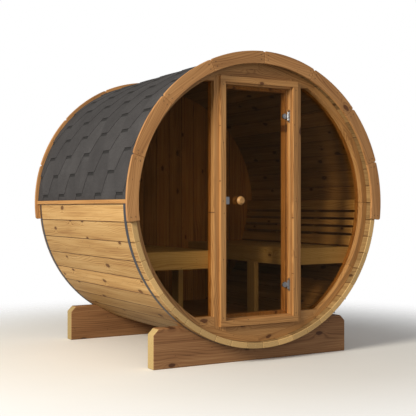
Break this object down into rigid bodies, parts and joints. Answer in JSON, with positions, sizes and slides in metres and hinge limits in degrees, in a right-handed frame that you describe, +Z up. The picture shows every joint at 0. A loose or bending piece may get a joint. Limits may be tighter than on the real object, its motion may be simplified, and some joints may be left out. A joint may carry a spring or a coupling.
{
  "type": "barrel sauna",
  "caption": "Wooden barrel sauna on two cradles with steel hoops, a shingled roof, a recessed glazed front, a hinged glass door, two benches and backrests inside.",
  "frame": {"origin": "on the ground, under the middle of the barrel", "axes": "+Z up, +Y from the glazed front to the rear wall, +X to the right seen from the front"},
  "size_m": [2.06, 1.77, 2.1219],
  "materials": {
    "stave_wood": "sanded heat-treated softwood, oiled",
    "arch_wood": "sanded softwood boards with knots, oiled",
    "cradle_wood": "sawn softwood beam, oiled",
    "lath_wood": "planed softwood lath",
    "roof_shingles": "bitumen shingles with charcoal mineral grit",
    "hoop_steel": "stainless steel band",
    "window_glass": "bronze-tinted safety glass, fixed",
    "door_glass": "bronze-tinted safety glass",
    "hinge_steel": "satin steel fittings",
    "catch_plastic": "black magnet case",
    "knob_wood": "turned knob, oiled",
    "bench_wood": "planed boards, untreated",
    "rear_wall_wood": "upright boards, oiled",
    "floor_wood": "planed floor boards",
    "frame_wood": "planed frame boards with knots, oiled"
  },
  "bodies": {
    "sauna": {"arch_front": "arch_wood", "arch_rear": "arch_wood", "backrest_left_battens": "bench_wood", "backrest_left_slats": "bench_wood", "backrest_right_battens": "bench_wood", "backrest_right_slats": "bench_wood", "barrel_1": "stave_wood", "barrel_2": "stave_wood", "barrel_3": "stave_wood", "barrel_4": "stave_wood", "barrel_5": "stave_wood", "barrel_6": "stave_wood", "bench_left_cross_boards": "bench_wood", "bench_left_legs": "bench_wood", "bench_left_seat": "bench_wood", "bench_left_side_board": "bench_wood", "bench_right_cross_boards": "bench_wood", "bench_right_legs": "bench_wood", "bench_right_seat": "bench_wood", "bench_right_side_board": "bench_wood", "catch_magnet": "catch_plastic", "corner_panels": "frame_wood", "cradle_front": "cradle_wood", "cradle_rear": "cradle_wood", "door_head": "frame_wood", "door_side_trims": "frame_wood", "door_sill": "frame_wood", "door_stop": "frame_wood", "floor": "floor_wood", "front_ring_left": "frame_wood", "front_ring_right": "frame_wood", "hinge_plates": "hinge_steel", "hoop_bolts": "hoop_steel", "hoop_front": "hoop_steel", "hoop_rear": "hoop_steel", "lower_panel": "frame_wood", "post_left": "frame_wood", "post_right": "frame_wood", "rear_wall": "rear_wall_wood", "roof_laths": "lath_wood", "roof_left": "roof_shingles", "roof_right": "roof_shingles", "upper_panel": "frame_wood", "window_left": "window_glass", "window_right": "window_glass"},
    "door": {"door_glass": "door_glass", "hinge_clamps": "hinge_steel", "door_knobs": "knob_wood", "catch_plate": "hinge_steel"}
  },
  "joints": [
    {"name": "door_hinge", "type": "hinge", "parent": "sauna", "child": "door", "pos_m": [0.255, -0.797, 1.092], "axis": [0, 0, 1], "range_deg": [0, 100]}
  ]
}
